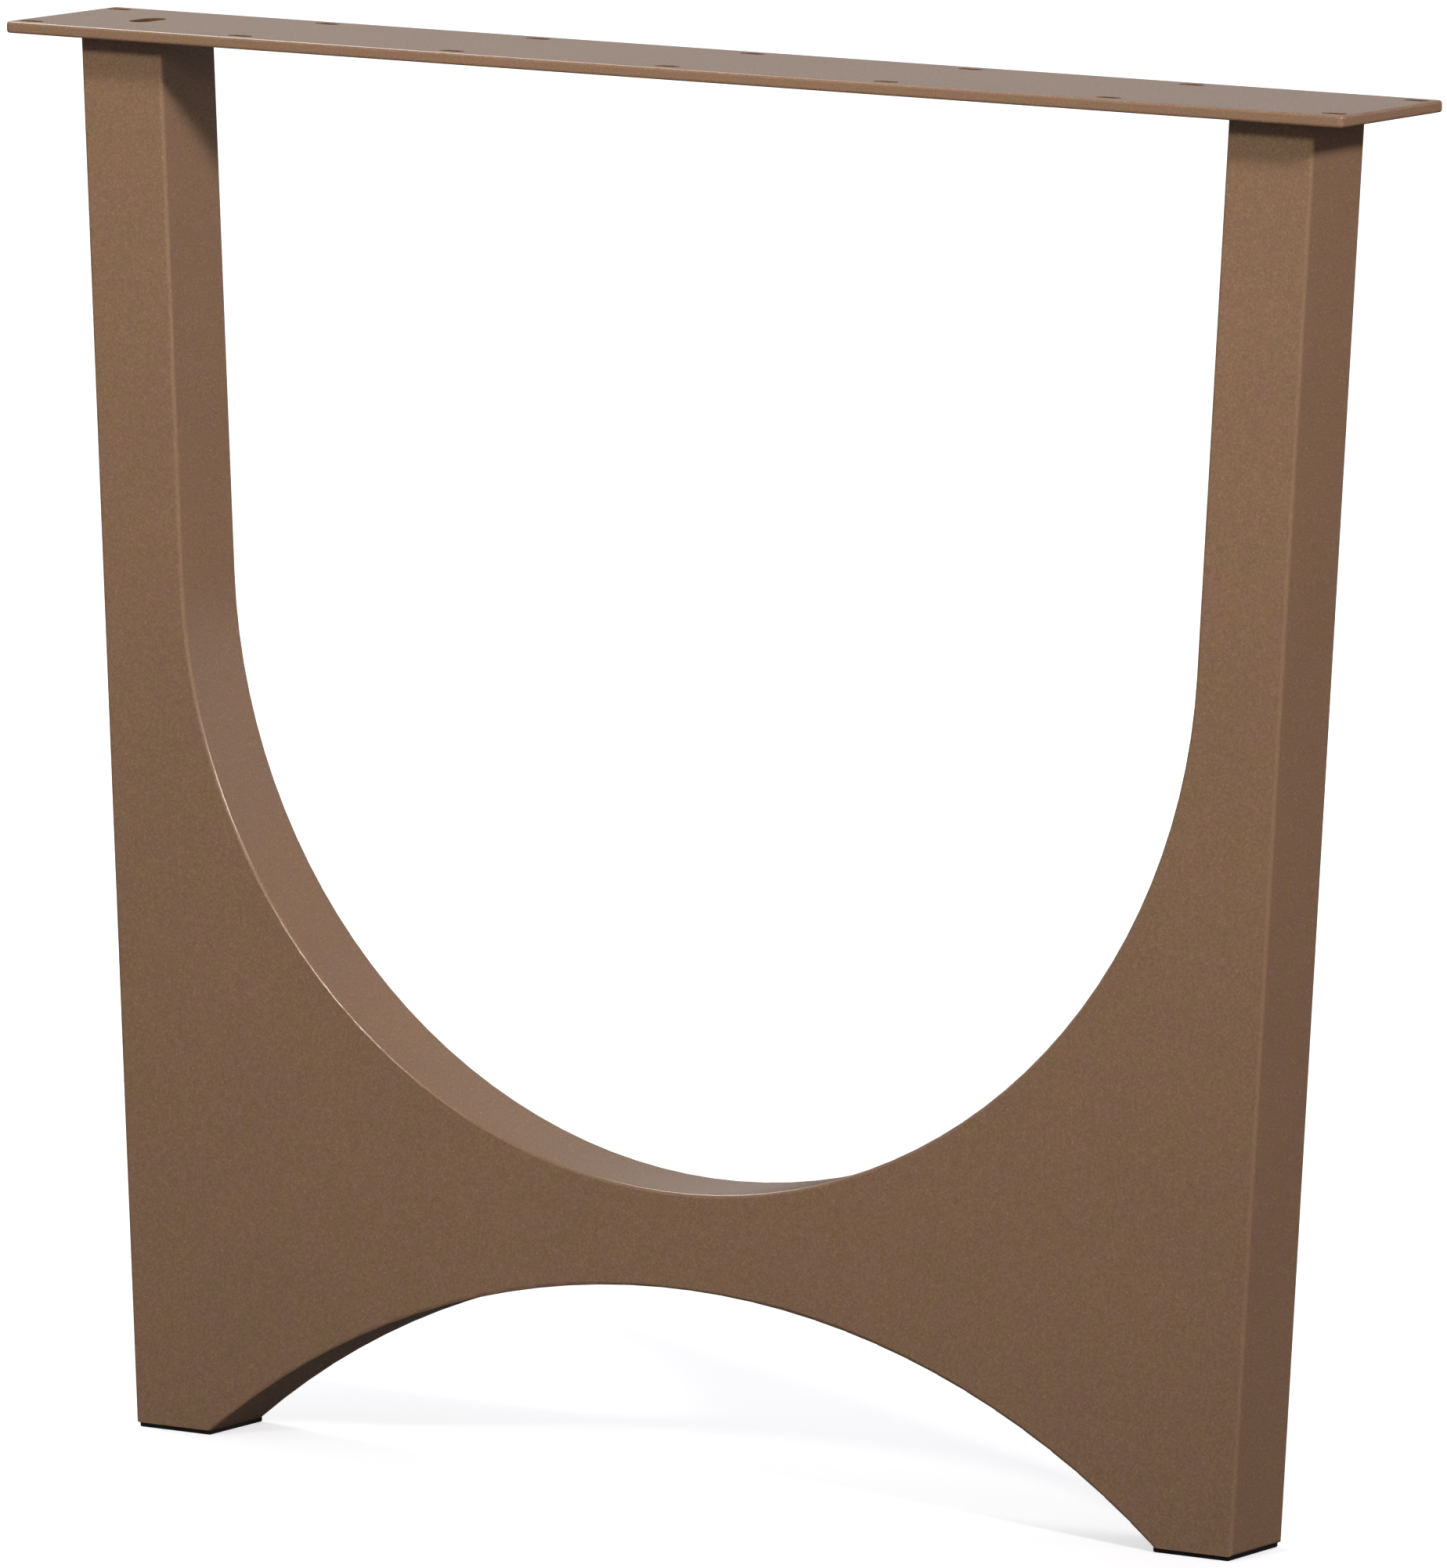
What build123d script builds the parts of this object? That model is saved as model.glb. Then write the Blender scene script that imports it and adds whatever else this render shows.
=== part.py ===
"""Welded steel table frame: two leaning legs, joined by a rolled bow, under a slotted mounting plate.

Millimetres and degrees. The origin is on the floor below the middle of the frame. X runs along the
plate, Y from the front panel to the rear panel, Z up.
"""

import math
import os

from build123d import *

# Mounting plate
plate_length = 800.0
plate_width = 100.0
plate_thickness = 6.0
plate_corner_radius = 3.0
plate_edge_radius = 1.5

# Slots for the screws into the table top, long way along the plate
slot_columns = 7
slot_length = 14.0
slot_width = 6.5
slot_rim = 3.0

# Vent into the hollow of the left leg, long way across the plate
vent_length = 25.0
vent_width = 12.0

# Frame below the plate
steel_height = 730.0
frame_depth = 50.0
plate_overhang = 30.0
leg_width = 50.0
leg_lean = 3.0
web_height = 50.0
arch_rise = 103.0
foot_width = 46.0

# Sheet, with the welded corners ground round and a narrow land left beside each seam
sheet = 2.5
edge_land = 0.5

# Pads under the feet
pad_thickness = 2.5
pad_inset = 1.0
pad_edge_radius = 1.0

# Heights
foot_z = pad_thickness
top_z = foot_z + steel_height
plate_z = top_z - plate_thickness
arch_top_z = foot_z + arch_rise
bow_bottom_z = arch_top_z + web_height

# Legs: both faces of a leg lean alike, so it stays equally wide from the plate to the bow
lean = math.radians(leg_lean)
leg_outer = plate_length / 2 - plate_overhang
leg_inner = leg_outer - leg_width

# Bow: the one circle that touches the inside of both legs and leaves the web above the arch
bow_drop = plate_z - bow_bottom_z
bow_radius = (leg_inner * math.cos(lean) - bow_drop * math.sin(lean)) / (1 - math.sin(lean))
bow_center_z = bow_bottom_z + bow_radius

# Arch between the feet
foot_outer = leg_outer - (plate_z - foot_z) * math.tan(lean)
foot_inner = foot_outer - foot_width
arch_radius = (foot_inner**2 + arch_rise**2) / (2 * arch_rise)
arch_center_z = arch_top_z - arch_radius

# Seams and strips
edge_radius = sheet - edge_land
strip_width = frame_depth - 2 * sheet

# Slot grid: the same rim is left at the ends and along both long edges
slot_margin = slot_rim + slot_length / 2
slot_pitch = (plate_length - 2 * slot_margin) / (slot_columns - 1)
slot_row_spacing = plate_width - 2 * slot_margin


def side_x(z, wall=0.0):
    """Outer face of the right leg at height z, or the surface that lies wall inside it."""
    return leg_outer - (plate_z - z) * math.tan(lean) - wall / math.cos(lean)


def bow_opening(wall=0.0):
    """Profile of the space between the legs, grown by wall into the steel."""
    radius = bow_radius + wall
    touch_x = radius * math.cos(lean)
    touch_z = bow_center_z - radius * math.sin(lean)
    rim_x = leg_inner + wall / math.cos(lean)
    left_leg = Line((-rim_x, plate_z), (-touch_x, touch_z))
    bend = ThreePointArc((-touch_x, touch_z), (0, bow_center_z - radius), (touch_x, touch_z))
    right_leg = Line((touch_x, touch_z), (rim_x, plate_z))
    rim = Line((rim_x, plate_z), (-rim_x, plate_z))
    return make_face([left_leg, bend, right_leg, rim])


def arch_disc(wall=0.0):
    """Circle of the arch between the feet, grown by wall into the steel."""
    return Pos(0, arch_center_z) * Circle(arch_radius + wall)


def strip(section):
    """Sheet strip between the two panels, with the given section in profile."""
    return extrude(Plane.XZ * section, amount=strip_width / 2, both=True)


def mirrored(solid):
    """The same piece on the left side of the frame."""
    return mirror(solid, about=Plane.YZ)


# Outline of the legs and the web, and what is ground off its two outer corners at the floor
outline = make_face(
    Polyline(
        (-foot_outer, foot_z),
        (foot_outer, foot_z),
        (leg_outer, plate_z),
        (-leg_outer, plate_z),
        close=True,
    )
)
floor_corners = outline.vertices().group_by(Axis.Y)[0]
ground_off = outline - fillet(floor_corners, edge_radius)
corner_cut = extrude(Plane.XZ * ground_off, amount=frame_depth / 2, both=True)

# Front panel, rounded along every edge but those on the plate and on the floor
profile = outline - bow_opening() - arch_disc()
front_panel = extrude(Plane.XZ.offset(frame_depth / 2 - sheet) * profile, amount=sheet)
front_edges = front_panel.faces().sort_by(Axis.Y)[0].edges()
flat_cut_edges = front_edges.filter_by(Axis.X)
front_panel = fillet(front_edges - flat_cut_edges, edge_radius)
front_panel -= corner_cut
rear_panel = mirror(front_panel, about=Plane.XZ)

# Rolled strips inside the bow and the arch
bow_strip = strip(bow_opening(sheet) - bow_opening())
arch_strip = strip((arch_disc(sheet) - arch_disc()) & outline)

# Straight strips down the outside of the legs
side_section = make_face(
    Polyline(
        (side_x(foot_z), foot_z),
        (side_x(plate_z), plate_z),
        (side_x(plate_z, sheet), plate_z),
        (side_x(foot_z, sheet), foot_z),
        close=True,
    )
)
right_side_strip = strip(side_section) - corner_cut

# Plates that close the feet, fitted between the side strip and the arch strip
foot_top_z = foot_z + sheet
foot_section = make_face(
    Polyline(
        (foot_inner, foot_z),
        (side_x(foot_z, sheet), foot_z),
        (side_x(foot_top_z, sheet), foot_top_z),
        (foot_inner, foot_top_z),
        close=True,
    )
)
right_foot_plate = strip(foot_section - arch_disc(sheet))

# Pads, from the arch to where the outer corner starts to round
pad_length = foot_width - edge_radius
pad_width = frame_depth - 2 * pad_inset
pad_x = foot_inner + pad_length / 2
right_foot_pad = Pos(pad_x, 0, pad_thickness / 2) * Box(pad_length, pad_width, pad_thickness)
floor_edges = right_foot_pad.faces().sort_by(Axis.Z)[0].edges()
right_foot_pad = fillet(floor_edges, pad_edge_radius)

# Mounting plate, its rims above and below eased all the way round
plate_outline = RectangleRounded(plate_length, plate_width, plate_corner_radius)
top_plate = extrude(Plane.XY.offset(plate_z) * plate_outline, amount=plate_thickness)
plate_edges = top_plate.edges().group_by(Axis.Z)
top_plate = fillet(plate_edges[0] + plate_edges[-1], plate_edge_radius)
vent_x = -(leg_inner + leg_outer) / 2
slot_grid = GridLocations(slot_pitch, slot_row_spacing, slot_columns, 2)
openings = Sketch() + [place * SlotOverall(slot_length, slot_width) for place in slot_grid]
openings += Pos(vent_x, 0) * SlotOverall(vent_length, vent_width, rotation=90)
top_plate -= extrude(Plane.XY.offset(plate_z) * openings, amount=plate_thickness)

nodes = {
    "top_plate": top_plate,
    "front_panel": front_panel,
    "rear_panel": rear_panel,
    "bow_strip": bow_strip,
    "arch_strip": arch_strip,
    "left_side_strip": mirrored(right_side_strip),
    "right_side_strip": right_side_strip,
    "left_foot_plate": mirrored(right_foot_plate),
    "right_foot_plate": right_foot_plate,
    "left_foot_pad": mirrored(right_foot_pad),
    "right_foot_pad": right_foot_pad,
}

os.makedirs("parts", exist_ok=True)
for name, solid in nodes.items():
    export_step(solid, f"parts/{name}.step")
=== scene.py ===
"""Looks of the welded table frame: powder coat, foot pads, studio light, floor and the photograph's camera."""

import math

import bmesh
import bpy
from mathutils import Matrix, Vector


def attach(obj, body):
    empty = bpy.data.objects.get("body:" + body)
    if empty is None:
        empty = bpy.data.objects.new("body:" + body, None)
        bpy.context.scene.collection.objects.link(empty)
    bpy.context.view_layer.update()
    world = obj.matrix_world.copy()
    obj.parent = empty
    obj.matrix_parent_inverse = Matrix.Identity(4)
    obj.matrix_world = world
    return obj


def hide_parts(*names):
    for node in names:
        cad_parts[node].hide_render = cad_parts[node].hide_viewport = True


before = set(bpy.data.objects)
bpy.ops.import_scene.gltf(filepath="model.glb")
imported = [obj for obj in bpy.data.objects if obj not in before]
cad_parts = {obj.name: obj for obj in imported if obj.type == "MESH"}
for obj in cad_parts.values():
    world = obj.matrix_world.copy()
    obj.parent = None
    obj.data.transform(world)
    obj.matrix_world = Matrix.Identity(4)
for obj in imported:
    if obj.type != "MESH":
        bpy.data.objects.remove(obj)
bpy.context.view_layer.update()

# Camera, as fitted to the photograph
LENS = 389.23
SENSOR = 36.0
YAW = 32.4915
PITCH = 8.0763
ROLL = 0.464
AIM = Vector((0.011524, 0.0, 0.363636))
DISTANCE = 8.61696
FARTHEST = 200.0

# Studio lamps: place, what they are turned to, size, power, beam angle in degrees, tint, and whether
# they give plain light and whether they show in gloss
MIDDLE = (0.0, 0.0, 0.4)
FRONT_PLACE = (-0.1, -2.75, 1.83)
FRONT_TINT = (0.975, 1.0, 0.94)
RIGHT_PLACE = (3.13, -1.69, 2.33)
RIGHT_TINT = (1.0, 0.955, 0.965)
WHITE = (1.0, 1.0, 1.0)
LAMPS = {
    "front": (FRONT_PLACE, MIDDLE, 0.32, 13.3, 180.0, FRONT_TINT, True, False),
    "front_beam": (FRONT_PLACE, (-0.1, 0.0, 1.1), 0.32, 3.8, 50.0, FRONT_TINT, True, False),
    "front_glint": ((0.06, -2.75, 1.83), (-0.21, 0.0, 0.24), 0.4, 0.56, 16.0, FRONT_TINT, False, True),
    "right": (RIGHT_PLACE, MIDDLE, 0.40, 51.0, 180.0, RIGHT_TINT, True, True),
    "right_beam": (RIGHT_PLACE, (0.0, 0.0, 1.1), 0.40, 6.6, 50.0, RIGHT_TINT, True, True),
    "overhead": ((-1.565, 0.65, 2.25), MIDDLE, 0.95, 25.0, 180.0, WHITE, True, True),
    "back": ((0.0, 3.2, 0.8), MIDDLE, 0.6, 22.0, 180.0, WHITE, True, False),
}

# Surroundings: the light they give, and the backdrop and ceiling that gloss shows, with the heights
# (the Z of a direction) between which the one fades into the other
AMBIENT = 0.407
AMBIENT_TINT = (0.91, 0.90, 1.0)
BACKDROP_GLOSS = 0.40
CEILING_GLOSS = 0.26
BACKDROP_TOP = 0.2
CEILING_START = 0.5

# Floor: half its side, what it sends back up and shows in gloss, and for the camera its colour and its
# glow, which is weaker near the part so that the shadow stays visible
FLOOR_REACH = 60.0
FLOOR_BOUNCE = 0.27
FLOOR_GLOSS = 0.02
FLOOR_PALE = 0.6
NEAR = 0.5
NEAR_GLOW = 0.56
FAR = 3.5
FAR_GLOW = 1.0

# Values between which most of a noise pattern lies
NOISE_LOW = 0.3
NOISE_HIGH = 0.7

# Powder coat: scale, detail and roughness of its patterns, its colours, and its relief as strength and depth
GRAIN = (1100.0, 3.0, 0.65)
MOTTLE = (105.0, 2.0, 0.5)
CLOUD = (16.0, 3.0, 0.5)
WAVES = (60.0, 1.0, 0.5)
PINKISH = (0.2300, 0.1308, 0.0840)
OLIVE = (0.2240, 0.1372, 0.0746)
DARK_SPECK = (0.35, 0.35, 0.35)
NO_SPECK = (0.5, 0.5, 0.5)
PALE_SPECK = (0.65, 0.65, 0.65)
COOL_DRIFT = (0.488, 0.491, 0.494)
WARM_DRIFT = (0.512, 0.509, 0.506)
# Painted shade for the sides of the plate's slots: darker colours, varied by the mottling
SLOT_SHADE_DARK = (0.085, 0.042, 0.018)
SLOT_SHADE_PALE = (0.110, 0.056, 0.026)
COAT_ROUGHNESS = (0.20, 0.28)
WAVE_RELIEF = (0.05, 0.0004)
PEEL_RELIEF = (0.10, 0.00012)

# Rubber of the pads, in the same terms
PEBBLE = (1900.0, 2.0, 0.6)
DUST = (150.0, 4.0, 0.6)
RUBBER_DARK = (0.0030, 0.0026, 0.0022)
RUBBER_PALE = (0.0070, 0.0058, 0.0048)
CLEAN = (0.45, 0.45, 0.45)
DUSTY = (0.62, 0.61, 0.60)
RUBBER_ROUGHNESS = (0.62, 0.80)
RUBBER_SPECULAR = 0.35
PEBBLE_RELIEF = (0.4, 0.0001)

# Inside of the plate's box that holds the sides of its slots, which get painted shade, clear of its own edges
# and faces, and the places of the lowest and the highest corner in an object's bound_box
PLATE_INSET = Vector((0.002, 0.002, 0.0002))
LOW_CORNER = 0
HIGH_CORNER = 6

# Rounding of the panels' outer corner at the floor, at the left foot: the middle of its arc, its radius,
# the angles at which the arc meets the leg and the floor, the flats it is made of, and the decimals of a
# metre to which two corners of a flat count as one
CORNER_MIDDLE = Vector((-0.330159, 0.0, 0.0045))
CORNER_RADIUS = 0.002
CORNER_START = 3.0
CORNER_END = 90.0
CORNER_FLATS = 6
WELD_DECIMALS = 6


class Tree:
    """Adds nodes to a material and wires them up."""

    def __init__(self, name):
        self.material = bpy.data.materials.new(name)
        self.material.use_nodes = True
        self.nodes = self.material.node_tree.nodes
        self.links = self.material.node_tree.links
        self.shader = self.nodes["Principled BSDF"]
        self.place = self.nodes.new("ShaderNodeTexCoord").outputs["Object"]

    def link(self, source, target):
        self.links.new(source, target)

    def noise(self, scale, detail, roughness):
        node = self.nodes.new("ShaderNodeTexNoise")
        node.inputs["Scale"].default_value = scale
        node.inputs["Detail"].default_value = detail
        node.inputs["Roughness"].default_value = roughness
        self.link(self.place, node.inputs["Vector"])
        return node.outputs["Fac"]

    def ramp(self, factor, *stops):
        node = self.nodes.new("ShaderNodeValToRGB")
        marks = node.color_ramp.elements
        while len(marks) < len(stops):
            marks.new(0.5)
        for mark, (position, colour) in zip(marks, stops):
            mark.position = position
            mark.color = (*colour, 1.0)
        self.link(factor, node.inputs["Fac"])
        return node.outputs["Color"]

    def outside(self, low, high):
        """0 inside the box between two corners, 1 or more outside it."""
        half = (high - low) / 2
        centre = (high + low) / 2
        node = self.nodes.new("ShaderNodeMapping")
        node.inputs["Location"].default_value = [-c / h for c, h in zip(centre, half)]
        node.inputs["Scale"].default_value = [1 / h for h in half]
        self.link(self.place, node.inputs["Vector"])
        last = node.outputs["Vector"]
        for operation, output in (("ABSOLUTE", "Vector"), ("FLOOR", "Vector"), ("LENGTH", "Value")):
            node = self.nodes.new("ShaderNodeVectorMath")
            node.operation = operation
            self.link(last, node.inputs[0])
            last = node.outputs[output]
        return last

    def blend(self, kind, first, second, factor=None):
        """The second colour over the first one, all over or by a factor."""
        node = self.nodes.new("ShaderNodeMix")
        node.data_type = "RGBA"
        node.blend_type = kind
        node.inputs["Factor"].default_value = 1.0
        if factor is not None:
            self.link(factor, node.inputs["Factor"])
        self.link(first, node.inputs["A"])
        self.link(second, node.inputs["B"])
        return node.outputs["Result"]

    def spread(self, factor, low, high):
        """A noise pattern as a number between low and high."""
        node = self.nodes.new("ShaderNodeMapRange")
        node.inputs["From Min"].default_value = NOISE_LOW
        node.inputs["From Max"].default_value = NOISE_HIGH
        node.inputs["To Min"].default_value = low
        node.inputs["To Max"].default_value = high
        self.link(factor, node.inputs["Value"])
        return node.outputs["Result"]

    def bump(self, height, strength, depth, under=None):
        """Relief from a pattern, on top of the relief under it if there is one."""
        node = self.nodes.new("ShaderNodeBump")
        node.inputs["Strength"].default_value = strength
        node.inputs["Distance"].default_value = depth
        self.link(height, node.inputs["Height"])
        if under is not None:
            self.link(under, node.inputs["Normal"])
        return node.outputs["Normal"]


def powder_coat(name, slot_shade_box=None):
    """Bronze-brown fine-texture powder coat: pinkish and olive mottling under a fine grain.

    Inside the box between the corners of its second argument, which takes in the sides of the slots, the
    colour is darker: painted shade that stands in for the shade inside the slots.
    """
    tree = Tree(name)
    grain = tree.noise(*GRAIN)
    mottle = tree.noise(*MOTTLE)
    cloud = tree.noise(*CLOUD)
    tone = tree.ramp(mottle, (NOISE_LOW, PINKISH), (NOISE_HIGH, OLIVE))
    speck = tree.ramp(grain, (0.25, DARK_SPECK), (0.50, NO_SPECK), (0.75, PALE_SPECK))
    drift = tree.ramp(cloud, (NOISE_LOW, COOL_DRIFT), (NOISE_HIGH, WARM_DRIFT))
    colour = tree.blend("OVERLAY", tone, speck)
    colour = tree.blend("OVERLAY", colour, drift)
    if slot_shade_box is not None:
        # Painted shade: darker colour inside the box, on the slot sides, standing in for the shade in the
        # slots
        slot_shade_colour = tree.ramp(mottle, (NOISE_LOW, SLOT_SHADE_DARK), (NOISE_HIGH, SLOT_SHADE_PALE))
        colour = tree.blend("MIX", slot_shade_colour, colour, tree.outside(*slot_shade_box))
    tree.link(colour, tree.shader.inputs["Base Color"])
    tree.link(tree.spread(grain, *COAT_ROUGHNESS), tree.shader.inputs["Roughness"])
    waves = tree.bump(tree.noise(*WAVES), *WAVE_RELIEF)
    peel = tree.bump(grain, *PEEL_RELIEF, waves)
    tree.link(peel, tree.shader.inputs["Normal"])
    return tree.material


def rubber():
    """Black foot pad: fine pebbled rubber, dusty on the high spots."""
    tree = Tree("foot_pad")
    pebble = tree.noise(*PEBBLE)
    dust = tree.noise(*DUST)
    dark = tree.ramp(pebble, (NOISE_LOW, RUBBER_DARK), (NOISE_HIGH, RUBBER_PALE))
    grey = tree.ramp(dust, (0.35, CLEAN), (0.75, DUSTY))
    tree.link(tree.blend("OVERLAY", dark, grey), tree.shader.inputs["Base Color"])
    tree.link(tree.spread(dust, *RUBBER_ROUGHNESS), tree.shader.inputs["Roughness"])
    tree.link(tree.bump(pebble, *PEBBLE_RELIEF), tree.shader.inputs["Normal"])
    tree.shader.inputs["Specular IOR Level"].default_value = RUBBER_SPECULAR
    return tree.material


def by_ray(tree, plain, cases, out):
    """Joins shaders so that rays of the named kinds meet their own one."""
    rays = tree.nodes.new("ShaderNodeLightPath")
    last = plain
    for kind, shader in cases:
        pick = tree.nodes.new("ShaderNodeMixShader")
        tree.links.new(rays.outputs[kind], pick.inputs[0])
        tree.links.new(last.outputs[0], pick.inputs[1])
        tree.links.new(shader.outputs[0], pick.inputs[2])
        last = pick
    tree.links.new(last.outputs[0], out.inputs["Surface"])


def fade(tree, value, start, end, first, last):
    """Goes smoothly from first to last while a value goes from start to end."""
    node = tree.nodes.new("ShaderNodeMapRange")
    node.interpolation_type = "SMOOTHSTEP"
    node.inputs["From Min"].default_value = start
    node.inputs["From Max"].default_value = end
    node.inputs["To Min"].default_value = first
    node.inputs["To Max"].default_value = last
    tree.links.new(value, node.inputs["Value"])
    return node.outputs["Result"]


def floor_finish():
    """Studio floor that the camera sees near white, with the part's shadow; it sends little light back up."""
    material = bpy.data.materials.new("studio_floor")
    material.use_nodes = True
    tree = material.node_tree
    tree.nodes.clear()
    dim = tree.nodes.new("ShaderNodeBsdfDiffuse")
    dim.inputs["Color"].default_value = (FLOOR_BOUNCE, FLOOR_BOUNCE, FLOOR_BOUNCE, 1.0)
    sheen = tree.nodes.new("ShaderNodeEmission")
    sheen.inputs["Strength"].default_value = FLOOR_GLOSS
    pale = tree.nodes.new("ShaderNodeBsdfDiffuse")
    pale.inputs["Color"].default_value = (FLOOR_PALE, FLOOR_PALE, FLOOR_PALE, 1.0)
    place = tree.nodes.new("ShaderNodeTexCoord")
    reach = tree.nodes.new("ShaderNodeVectorMath")
    reach.operation = "LENGTH"
    tree.links.new(place.outputs["Object"], reach.inputs[0])
    strength = fade(tree, reach.outputs["Value"], NEAR, FAR, NEAR_GLOW, FAR_GLOW)
    glow = tree.nodes.new("ShaderNodeEmission")
    tree.links.new(strength, glow.inputs["Strength"])
    seen = tree.nodes.new("ShaderNodeAddShader")
    tree.links.new(pale.outputs[0], seen.inputs[0])
    tree.links.new(glow.outputs[0], seen.inputs[1])
    out = tree.nodes.new("ShaderNodeOutputMaterial")
    by_ray(tree, dim, [("Is Glossy Ray", sheen), ("Is Camera Ray", seen)], out)
    return material


def studio_world():
    """White to the camera, a pale backdrop below a darker ceiling in gloss, soft grey as light."""
    world = bpy.data.worlds.new("studio")
    world.use_nodes = True
    tree = world.node_tree
    tree.nodes.clear()
    levels = []
    for colour, strength in ((AMBIENT_TINT, AMBIENT), (WHITE, BACKDROP_GLOSS), (WHITE, 1.0)):
        level = tree.nodes.new("ShaderNodeBackground")
        level.inputs["Color"].default_value = (*colour, 1.0)
        level.inputs["Strength"].default_value = strength
        levels.append(level)
    light, gloss, white = levels
    heading = tree.nodes.new("ShaderNodeTexCoord")
    height = tree.nodes.new("ShaderNodeSeparateXYZ")
    tree.links.new(heading.outputs["Generated"], height.inputs[0])
    strength = fade(tree, height.outputs["Z"], BACKDROP_TOP, CEILING_START, BACKDROP_GLOSS, CEILING_GLOSS)
    tree.links.new(strength, gloss.inputs["Strength"])
    out = tree.nodes.new("ShaderNodeOutputWorld")
    by_ray(tree, light, [("Is Glossy Ray", gloss), ("Is Camera Ray", white)], out)
    bpy.context.scene.world = world


def grind(shape, place, outward):
    """Cuts a flat on a shape, at a place and facing outward, and closes the cut, which is convex there."""
    everything = [*shape.verts, *shape.edges, *shape.faces]
    cut = bmesh.ops.bisect_plane(shape, geom=everything, plane_co=place, plane_no=outward, clear_outer=True)
    corners = [part.co.copy() for part in cut["geom_cut"] if isinstance(part, bmesh.types.BMVert)]
    rim = list({corner.to_tuple(WELD_DECIMALS): corner for corner in corners}.values())
    if len(rim) < 3:
        return
    middle = sum(rim, Vector()) / len(rim)
    along = Vector((0.0, 1.0, 0.0))
    across = outward.cross(along)

    def turn(corner):
        spoke = corner - middle
        return math.atan2(spoke.dot(across), spoke.dot(along))

    flat = shape.faces.new([shape.verts.new(corner) for corner in sorted(rim, key=turn)])
    flat.normal_update()
    if flat.normal.dot(outward) < 0:
        flat.normal_flip()


def clean_panel(name):
    """Stands in for a panel, whose solid has a burr at its right foot and a square corner at its left one.

    The left half is rounded at the floor, as the side strips are, and stands on both sides.
    """
    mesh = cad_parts[name].data.copy()
    shape = bmesh.new()
    shape.from_mesh(mesh)
    step = (CORNER_END - CORNER_START) / (CORNER_FLATS + 1)
    for number in range(1, CORNER_FLATS + 1):
        angle = math.radians(CORNER_START + step * number)
        outward = Vector((-math.cos(angle), 0.0, -math.sin(angle)))
        grind(shape, CORNER_MIDDLE + outward * CORNER_RADIUS, outward)
    shape.to_mesh(mesh)
    shape.free()
    piece = bpy.data.objects.new(name + "_clean", mesh)
    halves = piece.modifiers.new("halves", "MIRROR")
    halves.use_bisect_axis[0] = True
    halves.use_bisect_flip_axis[0] = True
    bpy.context.collection.objects.link(piece)
    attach(piece, "root")
    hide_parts(name)


def lamp(name, place, aim, size, power, beam, tint, plain, gloss):
    """Square studio lamp, as one row of LAMPS describes it."""
    data = bpy.data.lights.new(name, "AREA")
    data.shape = "SQUARE"
    data.size = size
    data.energy = power
    data.spread = math.radians(beam)
    data.color = tint
    body = bpy.data.objects.new(name, data)
    body.location = place
    body.rotation_euler = (Vector(aim) - Vector(place)).to_track_quat("-Z", "Y").to_euler()
    body.visible_diffuse = plain
    body.visible_glossy = gloss
    bpy.context.collection.objects.link(body)


def camera():
    """The photograph's camera."""
    yaw = math.radians(YAW)
    pitch = math.radians(PITCH)
    ahead = Vector((-math.sin(yaw) * math.cos(pitch), math.cos(yaw) * math.cos(pitch), -math.sin(pitch)))
    data = bpy.data.cameras.new("camera")
    data.lens = LENS
    data.sensor_width = SENSOR
    data.clip_end = FARTHEST
    body = bpy.data.objects.new("camera", data)
    place = Matrix.Translation(AIM - ahead * DISTANCE)
    turn = ahead.to_track_quat("-Z", "Y").to_matrix().to_4x4()
    roll = Matrix.Rotation(math.radians(ROLL), 4, "Z")
    body.matrix_world = place @ turn @ roll
    bpy.context.collection.objects.link(body)
    bpy.context.scene.camera = body


def floor():
    """Floor that reaches well past every view."""
    signs = ((-1, -1), (1, -1), (1, 1), (-1, 1))
    corners = [(x * FLOOR_REACH, y * FLOOR_REACH, 0.0) for x, y in signs]
    mesh = bpy.data.meshes.new("floor")
    mesh.from_pydata(corners, [], [(0, 1, 2, 3)])
    body = bpy.data.objects.new("floor", mesh)
    mesh.materials.append(floor_finish())
    bpy.context.collection.objects.link(body)


# Box around the sides of the plate's slots, which get painted shade
plate_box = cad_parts["top_plate"].bound_box
slot_shade_low = Vector(plate_box[LOW_CORNER]) + PLATE_INSET
slot_shade_high = Vector(plate_box[HIGH_CORNER]) - PLATE_INSET
coat = powder_coat("powder_coat")
plate_coat_slot_shade = powder_coat("plate_coat_slot_shade", (slot_shade_low, slot_shade_high))
pad = rubber()
finishes = {"top_plate": plate_coat_slot_shade, "left_foot_pad": pad, "right_foot_pad": pad}
for name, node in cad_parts.items():
    for slot in node.material_slots:
        slot.material = finishes.get(name, coat)
for name in ("front_panel", "rear_panel"):
    clean_panel(name)

floor()
studio_world()
for name, settings in LAMPS.items():
    lamp(name, *settings)
camera()
bpy.context.scene.view_settings.view_transform = "Standard"
